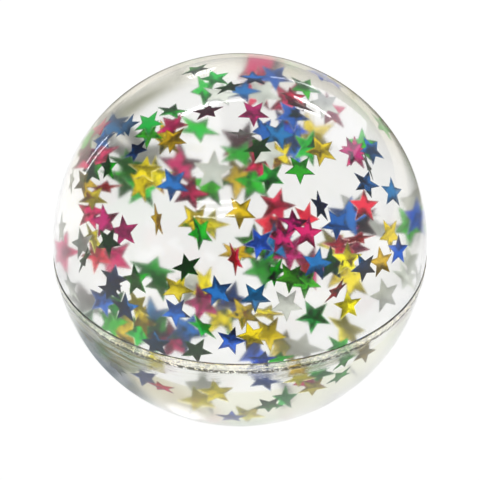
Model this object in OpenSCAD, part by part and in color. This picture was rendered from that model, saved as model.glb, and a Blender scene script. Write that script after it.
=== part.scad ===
// Clear moulded bouncy ball with foil confetti stars sealed inside.
// Two clear halves meet at the parting plane; each holds its stars in fitted pockets.
// Origin: the centre of the ball. +Z stands square to the parting plane.

/* [Ball] */
// Diameter of the clear ball
ball_d = 45; // [32:1:60]
// Depth of the fine V-groove that marks the parting line
parting_groove = 0.12; // [0.04:0.02:0.3]
// Clear rubber left between any star and the skin or the parting plane
star_cover = 0.25; // [0.15:0.05:0.5]

/* [Trimmed flash band] */
// Height of the rough trimmed band below the parting line
band_h = 1.1; // [0.6:0.1:2]
// How far the band stands proud of the ball
band_proud = 0.12; // [0.06:0.02:0.25]
// Bevel along both edges of the band
band_bevel = 0.06; // [0.02:0.02:0.1]

/* [Confetti stars] */
// Width across the points of a foil star, measured on its outer circle
star_d = 3.3; // [2:0.1:4]
// Width of the round room that each star is laid in; a wider star widens its room
star_room_d = 4; // [3.4:0.1:4.4]
// Thickness of the foil
foil_t = 0.08; // [0.05:0.01:0.15]
// Radius of the notches between the points, as a share of the points' radius
star_notch_share = 0.43; // [0.36:0.01:0.55]
// Clear rubber kept between two stars
star_gap = 0.05; // [0.02:0.01:0.2]
// How far a star may slip aside off its line of sight before other depths are tried
star_slip = 0.3; // [0.1:0.1:1]
// Number of stars laid in the outer rear zone, which refraction hides in the front view
rear_count = 80; // [0:1:120]

/* [Front view, in which the stars were placed] */
// Height of the eye above the parting plane, in degrees
view_elevation = 35; // [0:1:80]
// Distance of the eye from the centre, in ball radii
view_distance_share = 5.35; // [3:0.05:12]
// Refractive index of the clear rubber
refractive_index = 1.5; // [1.4:0.01:1.6]
// Power that draws the sharpest stars, judged as lying at small depths, toward the near skin
depth_power = 1.8; // [1:0.1:2.4]

/* [Hidden] */
ball_r = ball_d / 2;
star_r = star_d / 2;
room_r = max(star_d, star_room_d) / 2;
COLOURS = ["blue", "green", "red", "gold", "silver"];

// Each row is one star as seen from the front: across and up from the centre of the outline
// (its radius is 1), depth along the line of sight through the rubber (0 near skin, 1 far skin),
// judged by how sharp it looks, then in degrees the direction of one point, the lean of the foil
// and which way it leans.
blue_seen_shares = [
    [-0.605, 0.61, 0.25, 75, 35, 135], [-0.735, 0.535, 0.35, 20, 30, 90], [-0.555, 0.48, 0.25, 200, 50, 130],
    [-0.36, 0.30, 0.50, 190, 10, 0], [-0.68, 0.615, 0.60, 170, 30, 80], [0.075, 0.865, 0.20, 95, 40, 85],
    [0.185, 0.875, 0.60, 200, 30, 80], [0.01, 0.80, 0.60, 0, 50, 90], [0.28, 0.67, 0.60, -15, 25, 75],
    [0.26, 0.60, 0.80, 130, 20, 0], [0.205, 0.565, 0.45, 215, 15, 0], [0.285, 0.50, 0.80, 290, 15, 0],
    [0.13, 0.585, 0.55, 120, 50, 20], [0.43, 0.885, 0.50, -30, 45, 60], [0.50, 0.845, 0.35, -80, 50, 60],
    [0.705, 0.48, 0.35, 50, 20, 30], [0.675, 0.30, 0.30, 142, 30, 60], [0.815, 0.255, 0.30, 90, 18, 0],
    [0.52, 0.085, 0.35, 122, 12, 90], [0.575, 0.12, 0.75, 80, 10, 0], [0.43, 0.18, 0.35, 90, 60, 20],
    [0.848, -0.055, 0.30, 90, 15, 0], [0.94, 0.12, 0.60, 90, 50, 0], [0.665, -0.147, 0.20, 264, 20, 130],
    [0.41, -0.13, 0.40, 150, 20, 0], [0.485, -0.13, 0.60, 20, 20, 0], [0.105, -0.015, 0.40, 115, 15, 150],
    [0.185, 0, 0.70, 20, 20, 0], [-0.12, -0.275, 0.30, 102, 8, 0], [-0.05, -0.32, 0.85, 0, 30, 60],
    [0.082, -0.305, 0.25, 270, 12, 170], [-0.345, -0.385, 0.25, 270, 10, 0], [-0.29, -0.485, 0.80, -15, 15, 0],
    [-0.05, -0.54, 0.25, 72, 10, 0], [-0.45, -0.56, 0.30, 92, 25, 90], [-0.475, -0.435, 0.90, 100, 30, 0],
    [-0.675, -0.21, 0.40, 150, 30, 60], [-0.70, -0.27, 0.20, 100, 40, 80], [-0.735, -0.325, 0.40, 215, 15, 0],
    [-0.615, -0.375, 0.30, 85, 15, 0], [0.12, -0.645, 0.20, 10, 55, 100], [0.075, -0.60, 0.80, 60, 40, 0],
    [0.13, -0.75, 0.60, 0, 50, 80], [-0.045, -0.95, 0.40, 160, 50, 90], [-0.51, -0.73, 0.55, -40, 40, 60]
];
green_seen_shares = [
    [-0.49, 0.625, 0.35, 60, 20, 100], [-0.49, 0.575, 0.20, 265, 25, 20], [-0.365, 0.69, 0.45, 0, 60, 80],
    [-0.60, 0.32, 0.85, 240, 30, 30], [-0.52, 0.28, 0.80, -60, 30, 0], [-0.79, 0.37, 0.35, 25, 25, 60],
    [-0.705, 0.39, 0.20, 235, 50, 20], [-0.815, 0.54, 0.60, 90, 50, 150], [-0.235, 0.91, 0.30, 200, 50, 110],
    [-0.135, 0.865, 0.40, 35, 35, 80], [-0.185, 0.80, 0.60, 260, 40, 20], [-0.06, 0.815, 0.35, 20, 65, 110],
    [0.345, 0.815, 0.50, 60, 35, 60], [0.10, 0.495, 0.25, 120, 40, 130], [0.16, 0.335, 0.50, 45, 30, 140],
    [0.32, 0.378, 0.20, 270, 15, 90], [-0.165, 0.285, 0.85, 230, 20, 0], [-0.225, 0.595, 0.80, -15, 55, 80],
    [0, 0.455, 0.90, 0, 60, 90], [0.075, 0.31, 0.85, 100, 20, 0], [0.63, 0.78, 0.30, -60, 50, 50],
    [0.765, 0.61, 0.50, -70, 50, 35], [0.365, 0.495, 0.65, 215, 30, 0], [0.655, 0.505, 0.60, 90, 30, 0],
    [-0.705, -0.01, 0.25, 60, 20, 0], [-0.835, -0.105, 0.30, 235, 72, 145], [-0.215, 0.04, 0.50, 262, 45, 10],
    [0.075, -0.02, 0.70, 90, 10, 0], [0.16, -0.07, 0.85, 300, 20, 0], [0.12, -0.16, 0.90, 270, 40, 60],
    [-0.285, -0.145, 0.20, 35, 35, 130], [-0.43, -0.235, 0.70, 200, 45, 45], [-0.475, -0.165, 0.85, 0, 50, 80],
    [-0.56, -0.215, 0.35, 97, 30, 0], [-0.675, -0.34, 0.60, -20, 30, 60], [0.905, 0.08, 0.75, 200, 50, 0],
    [0.27, -0.20, 0.30, 192, 20, 45], [0.35, -0.235, 0.50, -20, 15, 0], [0.185, -0.175, 0.40, 70, 60, 150],
    [-0.065, -0.385, 0.90, 60, 30, 0], [-0.20, -0.465, 0.50, -40, 60, 50], [-0.235, -0.585, 0.35, 205, 30, 100],
    [0.395, -0.41, 0.60, 190, 15, 100], [0.54, -0.575, 0.60, 200, 50, 60], [0.56, -0.64, 0.20, 220, 60, 130],
    [0.535, -0.73, 0.20, 200, 60, 120], [0.42, -0.715, 0.55, 60, 40, 100], [0.20, -0.635, 0.40, 10, 62, 100],
    [0.155, -0.885, 0.35, 200, 40, 95], [0.24, -0.85, 0.40, 90, 40, 0], [-0.62, -0.635, 0.60, 150, 60, 60],
    [-0.54, -0.50, 0.60, 110, 40, 0], [-0.45, -0.49, 0.85, 60, 20, 0], [-0.835, -0.45, 0.70, 130, 50, 40],
    [-0.685, -0.44, 0.70, 0, 40, 0], [-0.59, 0.40, 0.75, 160, 45, 60]
];
red_seen_shares = [
    [-0.36, 0.61, 0.60, 60, 50, 120], [-0.31, 0.39, 0.90, 90, 30, 0], [-0.825, 0.465, 0.50, 150, 30, 60],
    [-0.745, 0.455, 0.60, 20, 50, 110], [-0.81, 0.415, 0.70, 200, 50, 100], [-0.73, 0.275, 0.65, 10, 70, 95],
    [-0.75, 0.60, 0.45, 150, 50, 120], [-0.27, 0.25, 0.75, 215, 30, 60], [0.11, 0.94, 0.80, -10, 50, 90],
    [0.095, 0.80, 0.80, 90, 30, 0], [0.072, 0.68, 0.30, 270, 12, 90], [-0.175, 0.69, 0.30, 20, 55, 105],
    [0.285, 0.765, 0.25, 95, 40, 60], [0.25, 0.74, 0.80, 200, 30, 0], [0.32, 0.715, 0.30, -20, 70, 70],
    [0.01, 0.51, 0.90, 0, 40, 90], [0.11, 0.41, 0.70, 60, 15, 0], [0.485, 0.69, 0.70, -50, 50, 40],
    [0.605, 0.475, 0.30, 112, 15, 0], [0.615, 0.465, 0.55, 160, 30, 0], [-0.80, 0.145, 0.60, 150, 25, 0],
    [-0.725, 0.10, 0.50, 100, 15, 0], [-0.62, 0.045, 0.30, 98, 10, 150], [-0.765, -0.075, 0.65, 260, 35, 10],
    [-0.68, -0.095, 0.80, -30, 30, 0], [-0.95, -0.065, 0.70, 0, 50, 0], [0.195, 0.18, 0.65, 75, 15, 60],
    [0.16, 0.085, 0.70, 240, 40, 0], [-0.03, -0.10, 0.45, 262, 65, 10], [0.225, 0.02, 0.55, 100, 15, 0],
    [0.265, -0.065, 0.75, 270, 25, 0], [0.29, 0.09, 0.35, 20, 40, 60], [0.35, 0.115, 0.50, 70, 40, 0],
    [0.36, 0.035, 0.30, 300, 15, 0], [0.665, 0.18, 0.50, 90, 15, 0], [0.64, 0.085, 0.80, -30, 40, 0],
    [0.60, -0.045, 0.70, 60, 40, 120], [0.545, -0.02, 0.65, 30, 40, 80], [0.63, 0.005, 0.50, 12, 70, 100],
    [0.515, -0.27, 0.25, 225, 70, 135], [0.37, -0.15, 0.85, 0, 30, 0], [-0.20, -0.335, 0.75, 180, 20, 0],
    [-0.36, -0.54, 0.80, 30, 30, 60], [0.36, -0.76, 0.60, 130, 50, 60], [-0.42, -0.785, 0.30, 170, 65, 80]
];
gold_seen_shares = [
    [-0.36, 0.535, 0.30, 50, 30, 120], [-0.40, 0.54, 0.60, 100, 40, 30], [-0.51, 0.375, 0.55, 10, 40, 90],
    [-0.46, 0.34, 0.70, 300, 20, 0], [-0.53, 0.30, 0.72, 220, 50, 0], [-0.83, 0.31, 0.50, 200, 30, 30],
    [-0.79, 0.225, 0.50, -20, 45, 80], [0.205, 0.45, 0.65, 330, 30, 0], [-0.01, 0.33, 0.92, 260, 20, 0],
    [0.435, 0.475, 0.40, 115, 15, 45], [0.385, 0.565, 0.80, 30, 50, 60], [-0.785, 0.01, 0.60, 45, 60, 30],
    [-0.44, 0.105, 0.45, 100, 70, 10], [-0.24, 0.105, 0.60, 127, 15, 0], [-0.165, 0.085, 0.75, 0, 40, 90],
    [0, 0.15, 0.35, 123, 12, 0], [-0.02, -0.055, 0.70, 200, 55, 80], [-0.335, -0.26, 0.40, 62, 25, 90],
    [-0.55, -0.345, 0.55, 110, 50, 30], [-0.525, -0.43, 0.60, 280, 50, 20], [0.80, 0.03, 0.55, 270, 40, 0],
    [0.755, -0.118, 0.30, 102, 18, 0], [0.575, -0.105, 0.60, 90, 15, 0], [0.50, -0.03, 0.55, 120, 50, 45],
    [0.55, -0.17, 0.80, 300, 20, 0], [0.60, -0.215, 0.75, -40, 40, 0], [0.02, -0.39, 0.55, 190, 25, 60],
    [0.14, -0.395, 0.70, 0, 65, 85], [-0.10, -0.40, 0.85, 90, 10, 0], [0.06, -0.515, 0.35, 180, 15, 0],
    [0.155, -0.50, 0.60, 60, 20, 0], [0.24, -0.575, 0.90, 0, 50, 60], [0.578, -0.352, 0.30, 97, 5, 0],
    [0.565, -0.48, 0.80, -60, 50, 30], [0.665, -0.60, 0.40, 0, 30, 45], [0.39, -0.79, 0.40, -15, 40, 90],
    [0.31, -0.69, 0.30, 20, 55, 100], [0.32, -0.735, 0.50, 200, 50, 100], [0.04, -0.935, 0.60, 270, 50, 90],
    [-0.13, -0.815, 0.60, 25, 40, 90], [-0.22, -0.855, 0.70, 180, 50, 90], [-0.46, -0.655, 0.40, 160, 50, 60],
    [-0.615, -0.46, 0.75, 90, 30, 0], [-0.60, -0.55, 0.60, -20, 55, 60], [-0.19, -0.245, 0.85, 60, 50, 0]
];
silver_seen_shares = [
    [-0.52, 0.45, 0.80, 30, 40, 120], [-0.90, 0.32, 0.30, 80, 70, 10], [-0.105, 0.78, 0.60, 150, 50, 80],
    [0.115, 0.785, 0.70, -20, 35, 80], [0.15, 0.465, 0.60, 140, 30, 0], [-0.145, 0.35, 0.75, 85, 10, 0],
    [0.02, 0.575, 0.35, 170, 70, 80], [0.455, 0.73, 0.50, 110, 20, 30], [0.685, 0.40, 0.20, -70, 78, 20],
    [-0.845, -0.02, 0.40, 175, 20, 0], [-0.955, 0.06, 0.50, 90, 60, 0], [-0.905, -0.25, 0.50, 100, 60, 30],
    [-0.83, -0.33, 0.70, -45, 55, 45], [0.615, 0.155, 0.80, 60, 30, 0], [0.69, 0.065, 0.90, 10, 65, 80],
    [0.945, 0.19, 0.70, 90, 60, 0], [0.25, -0.36, 0.50, 200, 15, 0], [0.775, -0.295, 0.50, 35, 15, 0],
    [0.91, -0.12, 0.50, 250, 50, 20], [0.89, -0.20, 0.60, 240, 55, 45], [0.955, -0.22, 0.50, 70, 60, 0],
    [-0.20, -0.80, 0.75, 90, 30, 0], [-0.665, -0.675, 0.30, 135, 50, 45], [-0.255, -0.24, 0.90, 20, 40, 0],
    [0.33, -0.58, 0.80, 0, 50, 80]
];
// A star that meets one laid before it is tried at these shifts in depth, in this order.
depth_shift_shares = [0, 0.04, -0.04, 0.08, -0.08, 0.13, -0.13, 0.19, -0.19, 0.26, -0.26, 0.34, -0.34];

shallowest_share = 0.03;
deepest_share = 0.97;

// The eye's own directions: to the right, up and toward the eye.
eye_right = [1, 0, 0];
eye_up = [0, sin(view_elevation), cos(view_elevation)];
eye_back = [0, -cos(view_elevation), sin(view_elevation)];
outline_tan = 1 / sqrt(view_distance_share * view_distance_share - 1);

function unit(v) = v / norm(v);

// Where a line of sight enters a ball of radius 1, and its direction after it bends there.
function sight(across, up) =
    let (d = unit(outline_tan * (across * eye_right + up * eye_up) - eye_back),
         eye = view_distance_share * eye_back,
         b = eye * d,
         entry = eye - (b + sqrt(max(0, b * b - view_distance_share * view_distance_share + 1))) * d,
         facing = -d * entry,
         bent = sqrt(1 - (1 - facing * facing) / (refractive_index * refractive_index)))
    [entry, d / refractive_index + (facing / refractive_index - bent) * entry];

// Moves a star's centre so that it stays in its own half and under the skin.
function clear_of_plane(p, n) =
    let (low = room_r * sqrt(max(0, 1 - n[2] * n[2])) + foil_t + star_cover)
    abs(p[2]) >= low ? p : [p[0], p[1], p[2] < 0 ? -low : low];
function under_skin(p, n) =
    let (limit = ball_r - star_cover - foil_t,
         flat = norm(p - (p * n) * n),
         q = p * p,
         s = (sqrt(room_r * room_r * flat * flat + q * (limit * limit - room_r * room_r)) - room_r * flat) / q)
    s < 1 ? s * p : p;
function seated(p, n) = clear_of_plane(under_skin(clear_of_plane(under_skin(clear_of_plane(p, n), n), n), n), n);

// A star is [centre, direction square to its foil, direction of one point, colour, slip aside].
function leaned(across_dir, up_dir, out_dir, spin, lean, turn, place, colour) =
    let (d = cos(turn) * across_dir + sin(turn) * up_dir,
         e = cross(out_dir, d),
         n = cos(lean) * out_dir + sin(lean) * d,
         tip = cos(spin - turn) * (cos(lean) * d - sin(lean) * out_dir) + sin(spin - turn) * e,
         seat = seated(place, n),
         moved = seat - place)
    [seat, n, tip, colour, norm(moved - (moved * out_dir) * out_dir)];
function seen_star(row, shift, colour) =
    let (s = sight(row[0], row[1]),
         out_dir = -s[1],
         across_dir = unit(eye_right - (eye_right * out_dir) * out_dir),
         chord = -2 * (s[0] * s[1]),
         depth = min(deepest_share, max(shallowest_share, pow(row[2], depth_power) + shift)))
    leaned(across_dir, cross(out_dir, across_dir), out_dir, row[3], row[4], row[5],
           ball_r * (s[0] + depth * chord * s[1]), colour);

// Two stars are clear when they lie apart, or one lies wholly on one side of the other's foil.
function clear(a, b) =
    let (d = b[0] - a[0],
         c = a[1] * b[1],
         reach = room_r * sqrt(max(0, 1 - c * c)) + foil_t + star_gap)
    norm(d) > 2 * room_r + star_gap || abs(d * a[1]) > reach || abs(d * b[1]) > reach;
function meets(a, laid) = len([for (b = laid) if (!clear(a, b)) 1]) > 0;
function laid_down(tries, laid, i = 0) =
    i == len(tries) ? laid
    : let (good = [for (t = tries[i]) if (!meets(t, laid)) t],
           best = concat([for (t = good) if (t[4] < star_slip) t], good))
      laid_down(tries, len(best) > 0 ? concat(laid, [best[0]]) : laid, i + 1);

seen_tables = [blue_seen_shares, green_seen_shares, red_seen_shares, gold_seen_shares, silver_seen_shares];
seen_tries = [for (c = [0:len(COLOURS) - 1]) for (row = seen_tables[c])
    [for (shift = depth_shift_shares) seen_star(row, shift, COLOURS[c])]];

// Stars in the outer rear zone, scattered evenly and turned every way.
rear_colours = ["blue", "green", "gold", "red", "green", "blue", "silver", "red", "gold", "green", "blue"];
rear_seed = 11;
rear_draws = 1200;
rear_reach_share = 0.93;
rear_dice = rands(0, 1, 6 * rear_draws, rear_seed);
rear_edge_turn = acos(1 / view_distance_share) + 90 - asin(1 / refractive_index);
function die(i, k) = rear_dice[6 * i + k];
function rear_star(i) =
    let (w = 1 - 2 * die(i, 0), g = 360 * die(i, 1), r = pow(die(i, 2), 1 / 3) * rear_reach_share, s = sqrt(1 - w * w),
         place = r * (w * eye_back + s * cos(g) * eye_right + s * sin(g) * eye_up),
         n = unit([for (k = [3:5]) die(i, k) - 0.5]),
         side = unit(cross(n, abs(n[2]) < 0.9 ? [0, 0, 1] : [1, 0, 0])),
         seat = seated(ball_r * place, n))
    [acos(unit(seat) * eye_back), norm(seat) / ball_r, [seat, n, side, rear_colours[i % len(rear_colours)], 0]];
rear_tries = [for (i = [0:rear_draws - 1]) let (t = rear_star(i))
    if (t[1] * cos(t[0] - rear_edge_turn) > 1 / refractive_index + room_r / ball_r) [t[2]]];

seen_stars = laid_down(seen_tries, []);
all_stars = laid_down(rear_tries, seen_stars);
star_count = min(len(all_stars), len(seen_stars) + rear_count);
stars = [for (i = [0:star_count - 1]) all_stars[i]];

module star_plate()
    linear_extrude(height = foil_t, center = true)
        polygon([for (k = [0:9]) let (r = k % 2 == 0 ? star_r : star_r * star_notch_share)
            [r * cos(36 * k), r * sin(36 * k)]]);

module placed(s) {
    p = s[0];
    n = s[1];
    x = s[2];
    y = cross(n, x);
    multmatrix([[x[0], y[0], n[0], p[0]], [x[1], y[1], n[1], p[1]], [x[2], y[2], n[2], p[2]]]) star_plate();
}

module stars_of(side, colour) for (s = stars) if (s[0][2] * side > 0 && s[3] == colour) placed(s);
module stars_in(side) for (s = stars) if (s[0][2] * side > 0) placed(s);

module quarter_disc(side)
    intersection() {
        circle(d = ball_d, $fn = 96);
        translate([0, side > 0 ? 0 : -ball_r]) square([ball_r, ball_r]);
    }

module upper_half() color([0.95, 0.95, 0.9, 0.25])
    difference() {
        rotate_extrude($fn = 96) difference() {
            quarter_disc(1);
            polygon([[ball_r - parting_groove, 0], [ball_r + parting_groove, 0],
                     [ball_r + parting_groove, 2 * parting_groove]]);
        }
        stars_in(1);
    }

module flash_band()
    rotate_extrude($fn = 96)
        polygon([[ball_r - band_h, 0], [ball_r + band_proud - band_bevel, 0],
                 [ball_r + band_proud, -band_bevel], [ball_r + band_proud, -band_h + band_bevel],
                 [ball_r + band_proud - band_bevel, -band_h], [ball_r - band_h, -band_h]]);

module lower_half() color([0.95, 0.93, 0.82, 0.25])
    difference() {
        union() {
            rotate_extrude($fn = 96) quarter_disc(-1);
            flash_band();
        }
        stars_in(-1);
    }

module upper_blue_stars() color([0.16, 0.32, 0.7]) stars_of(1, "blue");
module upper_green_stars() color([0.12, 0.6, 0.2]) stars_of(1, "green");
module upper_red_stars() color([0.78, 0.14, 0.35]) stars_of(1, "red");
module upper_gold_stars() color([0.85, 0.72, 0.1]) stars_of(1, "gold");
module upper_silver_stars() color([0.75, 0.76, 0.74]) stars_of(1, "silver");
module lower_blue_stars() color([0.16, 0.32, 0.7]) stars_of(-1, "blue");
module lower_green_stars() color([0.12, 0.6, 0.2]) stars_of(-1, "green");
module lower_red_stars() color([0.78, 0.14, 0.35]) stars_of(-1, "red");
module lower_gold_stars() color([0.85, 0.72, 0.1]) stars_of(-1, "gold");
module lower_silver_stars() color([0.75, 0.76, 0.74]) stars_of(-1, "silver");

upper_half();
lower_half();
upper_blue_stars();
upper_green_stars();
upper_red_stars();
upper_gold_stars();
upper_silver_stars();
lower_blue_stars();
lower_green_stars();
lower_red_stars();
lower_gold_stars();
lower_silver_stars();
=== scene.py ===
"""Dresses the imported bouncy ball: clear rubber with a trimmed parting band, and foil confetti stars inside."""
import math
import random

import bmesh
import bpy
from mathutils import Matrix, Vector, noise


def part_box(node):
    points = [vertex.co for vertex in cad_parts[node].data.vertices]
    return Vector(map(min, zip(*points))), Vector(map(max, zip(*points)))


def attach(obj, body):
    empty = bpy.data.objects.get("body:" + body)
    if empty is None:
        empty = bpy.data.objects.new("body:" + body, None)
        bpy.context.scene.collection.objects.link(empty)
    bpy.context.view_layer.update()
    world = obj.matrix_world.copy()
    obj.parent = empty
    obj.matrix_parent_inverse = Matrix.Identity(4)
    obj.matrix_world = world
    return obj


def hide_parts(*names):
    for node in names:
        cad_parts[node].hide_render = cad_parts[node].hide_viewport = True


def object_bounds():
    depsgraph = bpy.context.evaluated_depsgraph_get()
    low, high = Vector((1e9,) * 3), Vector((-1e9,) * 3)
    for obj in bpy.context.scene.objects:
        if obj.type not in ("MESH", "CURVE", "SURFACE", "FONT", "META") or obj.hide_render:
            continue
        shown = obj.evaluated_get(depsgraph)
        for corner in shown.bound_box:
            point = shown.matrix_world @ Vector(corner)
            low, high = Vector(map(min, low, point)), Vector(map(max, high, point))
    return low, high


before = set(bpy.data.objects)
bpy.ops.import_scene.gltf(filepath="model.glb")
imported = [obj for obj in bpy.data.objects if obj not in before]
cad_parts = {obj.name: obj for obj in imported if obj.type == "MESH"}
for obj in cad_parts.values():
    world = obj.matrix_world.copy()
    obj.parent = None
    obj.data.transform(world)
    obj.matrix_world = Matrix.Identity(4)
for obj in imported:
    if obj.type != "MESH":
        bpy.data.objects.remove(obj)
cad_low, cad_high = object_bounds()

bl_info = {
    "name": "Confetti Bouncy Ball",
    "version": (1, 0, 0),
    "blender": (4, 5, 0),
    "location": "View3D > Sidebar > Ball",
    "description": "Clear rubber ball with foil stars inside and a trimmed parting band",
    "category": "Object",
}

BALL_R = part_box("upper_half")[1].z
BAND_R = cad_high.x
FOIL_COLOURS = ("blue", "green", "red", "gold", "silver")
BLACK = (0.0, 0.0, 0.0)
WHITE = (1.0, 1.0, 1.0)

# The turned skin: how many steps the profile takes from a pole to the band, and down the band's face.
POLE_STEPS = 84
GROOVE_STEPS = 2
BAND_STEPS = 10
# Height of the groove, as a share of its depth.
GROOVE_RISE = 1.15
# Points nearer than this are one point, in metres; a point nearer than POLE_REACH to the axis is the pole.
MERGE_REACH = 1e-7
STAR_MERGE_REACH = 1e-6
POLE_REACH = 1e-6
# Edges that turn by more than this stay sharp.
SKIN_SHARP = math.radians(38)
FOIL_SHARP = math.radians(35)
# The torn face of the band: how finely it is torn round the ball and up it, and its least and greatest depth
# as shares of the band's height over the skin.
ROUND_GRAIN = 9
TORN_GRAIN = 6
TORN_GRAIN_UP = 4000
TORN_LEAST = 0.12
TORN_SPAN = 0.5
# How far below and above the band's lower edge the knife's wander reaches, in band heights.
WANDER_BELOW = 1.2
WANDER_ABOVE = 0.6
WANDER_LAYER = 3.1

# A star's outline: number of points, and the radius of its notches as a share of its own.
STAR_POINTS = 5
STAR_NOTCH = 0.43
# How unevenly the points curl, and the share of the radius past which they do, squared.
TIP_SPREAD = 0.25
TIP_START = 0.4
# How far the foil's pattern is shifted from star to star, and how often it repeats across one.
PATTERN_SHIFT = 90
PATTERN_REPEAT = 1.5

# Each grain is a noise: how many repeats a metre (or across a star, or over the sky), its detail, its roughness.
SPECK_GRAIN = (2600.0, 3.0, 0.7)
STREAK_GRAIN = (1300.0, 4.0, 0.65)
FLOW_GRAIN = (120.0, 5.0, 0.65)
PATCH_GRAIN = (55.0, 1.0, 0.5)
SWELL_GRAIN = (110.0, 1.0, 0.5)
CRINKLE_GRAIN = (1.1, 1.5, 0.4)
ROOM_GRAIN = (1.7, 1.0, 0.5)
FLOOR_GRAIN = (28.0, 1.0, 0.5)
# The knife dragged the scuffs along the band, and the rubber flowed along it: how much finer both are up the ball.
DRAGGED = (1.0, 1.0, 5.0)
DRAWN = (1.0, 1.0, 22.0)
# Hairlines: how the pattern is turned and drawn out, and its detail and roughness.
HAIRLINES_TURNED = (0.4, 0.2, 0.7)
HAIRLINES_DRAWN = (1, 9, 3)
HAIRLINES_DETAIL = (3.0, 0.6)
MOTTLE_DETAIL = (2.0, 0.5)
# Shared wear: scratches and mottle for each metre of skin, and across a star.
SKIN_WEAR = (160.0, 900.0)
FOIL_WEAR = (3.0, 1.6)

# Where each grain starts to show, and where it shows in full.
HAIRLINES_SHOW = (0.62, 0.72)
SCUFF_SHOWS = (0.42, 0.62)
GRIT_SHOWS = (0.5, 0.66)
GLINTING_SPECKS_SHOW = (0.5, 0.38)
ROUGH_SPECKS_SHOW = (0.45, 0.7)
LINE_BREAKS_SHOW = (0.4, 0.5)
FLOW_SHOWS = (0.5, 0.57)
PATCHES_SHOW = (0.35, 0.6)
MOTTLE_SHOWS = (0.3, 0.75)
DARK_ROOM_SHOWS = (0.4, 0.48)
BRIGHT_ROOM_SHOWS = (0.55, 0.62)
FLOOR_PATCHES_SHOW = (0.44, 0.52)

# Where the band's paint starts past each edge and where it is full, in metres above the edge.
LOW_EDGE_FADE = (-0.00012, 0.00004)
TOP_EDGE_FADE = (0.00002, -0.00004)
# The dark lines along both edges: where they start and where they are full, in metres from their middle.
TOP_LINE_FADE = (0.00022, 0.00004)
LOW_LINE_FADE = (0.0004, 0.00016)
TOP_LINE_DROP = 0.00006
TOP_LINE_STRENGTH = 0.75
# The upper line is faint at the front and behind, and full at both sides, in ball radii.
TOP_LINE_SIDES = (0.4, 0.75)
TOP_LINE_LEAST = 0.1
BAND_TINT_STRENGTH = 0.6
SCUFF_STRENGTH = 0.45
WORN_COLOUR = (0.2, 0.16, 0.07)
LINE_COLOUR = (0.01, 0.009, 0.004)
# Painted glint: the band's pale specks glow with this colour and strength.
SPECK_GLINT_COLOUR = (0.6, 0.53, 0.27)
SPECK_GLINT_STRENGTH = 0.5
BAND_ROUGHNESS = 0.22
BAND_BUMP = 0.3

# Flow marks under the band: they gather toward the left side, in ball radii, and reach further down there,
# in band heights.
DRAWN_SIDE = (-0.35, -0.75)
FLOW_REACH = 3
DRAWN_SIDE_REACH = 4
FLOW_FADE = (1.0, 0.4)
FLOW_START = (0.9, 1.1)
DRAWN_SIDE_STRENGTH = 1.5
PATCHES_LEAST = 0.15
STAIN_COLOUR = (0.36, 0.27, 0.07)
STAIN_STRENGTH = 0.85

# The rubber's skin and body.
SCRATCH_ROUGHNESS = 0.05
RIPPLE_GAIN = 10
SKIN_BUMP = 0.6
SKIN_BUMP_DEPTH = 0.0001
COAT = 0.6
COAT_ROUGHNESS = 0.02
# Painted glow: the body glows faintly white in place of the light its cloudiness would scatter.
HAZE_GLOW_COLOUR = (0.95, 0.95, 0.95)
# Light that reaches the floor through the ball: near its middle and near its rim.
SHADOW_MIDDLE = (0.96, 0.96, 0.93)
SHADOW_RIM = (0.3, 0.3, 0.28)
SHADOW_FALL = 2.5

# The foil: its deep and pale tones as shares of its colour, its scratches, its edge with painted shade on some stars
# and a painted glint on the others, and its crinkles.
DEEP_TONE = 0.42
MOTTLE_SHARE = 0.5
OWN_TONE_SHARE = 0.5
PALE_TONE = 1.25
PALE_LIFT = 0.01
SCRATCH_LIFT = 0.3
SCRATCH_STRENGTH = 0.15
SCRATCH_DEPTH = -0.08
# Painted shade and painted glint at a star's edge: dark on darker-toned stars, pale on paler ones.
EDGE_SHADE = 0.2
EDGE_GLINT = (0.9, 0.9, 0.8)
EDGE_GLINT_FROM = 0.65
EDGE_SHADE_AND_GLINT_STRENGTH = 0.5
FOIL_BUMP = 0.2
FOIL_BUMP_DEPTH = 0.0002
FOIL_ROUGHNESS = (0.05, 0.16)

# Thin tube lamps that draw the highlights: start and end as azimuth and elevation, width in degrees, glow.
RIGHT_TUBES = [((27, 40), (44, 33), 1.6, 12.0), ((35, 47), (44, 39), 1.1, 10.0), ((11, 29), (24, 21), 0.7, 7.0)]
LEFT_TUBES = [((-54, 0), (-50, 14), 0.8, 7.0), ((-49, 0), (-45, 11), 0.6, 7.0), ((-42, 50), (-16, 56), 2.0, 13.0),
              ((-16, 56), (4, 56), 1.0, 7.0)]
CEILING_TUBES = [((-139, 51), (-157, 54), 0.7, 11.0), ((-160, 55), (-176, 57), 0.8, 16.0),
                 ((-141, 47), (-158, 50), 0.7, 12.0), ((-161, 51), (-176, 53), 0.8, 16.0),
                 ((-143, 43), (-160, 46), 0.7, 11.0), ((-162, 47), (-176, 49), 0.8, 16.0)]
# Two rails with rungs between them, drawn as one hatched highlight; each has its width in degrees and its glow.
LADDER_RAILS = [((-16.3, 20.5), (-6.6, 17.8)), ((-16.7, 24.4), (-8.6, 22.5))]
LADDER_RAIL_TUBE = (0.3, 5.0)
LADDER_RUNGS = 7
LADDER_RUNG_TUBE = (0.25, 7.0)
# A large pale blue soft box that fills the upper right of the rubber.
SOFT_BOX = ((29, 14), (65, 40), 22, 1.2)
SOFT_BOX_COLOUR = (0.9, 0.9, 1.0)
LAMP_DISTANCE = 0.9

# The tent that lights the ball: its wall, its dim side toward the camera and a dark flag to the left.
TENT_WALL = (0.45, 0.45, 0.47)
TENT_DIM = (0.1, 0.1, 0.11)
TENT_DIM_SPREAD = (0.45, 0.95)
FLAG = (0.12, 0.12, 0.14)
FLAG_WAY = (-75, 35)
FLAG_SPREAD = (0.86, 0.95)
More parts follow.
